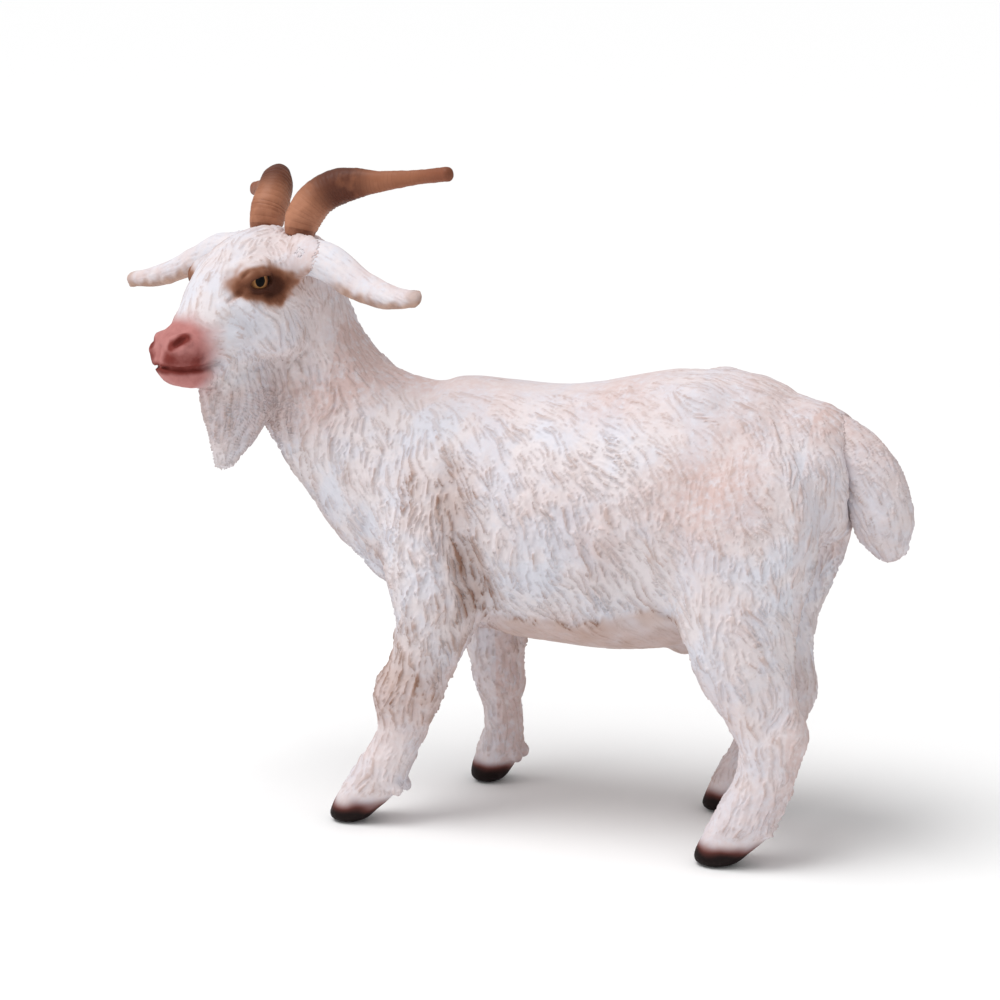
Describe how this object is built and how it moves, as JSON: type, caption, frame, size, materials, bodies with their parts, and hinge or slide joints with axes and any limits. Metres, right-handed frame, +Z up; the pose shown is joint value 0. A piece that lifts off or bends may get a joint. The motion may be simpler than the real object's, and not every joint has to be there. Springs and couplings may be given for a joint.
{
  "type": "toy goat figurine",
  "caption": "Hand-painted moulded plastic figurine of a white billy goat, walking with its head turned to its left.",
  "frame": {"origin": "on the ground, under the middle of the figurine's bounding box", "axes": "+Z up; the goat walks towards -X, and its left side faces -Y"},
  "size_m": [0.106, 0.0388, 0.082],
  "materials": {
    "coat": "matt off-white paint over sculpted fur, with a pinkish-beige wash in the grooves",
    "horn": "matt brown paint over sculpted growth rings, tan at the root"
  },
  "bodies": {
    "root": {"body_left": "coat", "body_right": "coat", "head": "coat", "horn_left": "horn", "horn_right": "horn", "ear_left": "coat", "ear_right": "coat", "tail": "coat", "leg_front_left": "coat", "leg_front_right": "coat", "leg_hind_left": "coat", "leg_hind_right": "coat"}
  },
  "joints": []
}
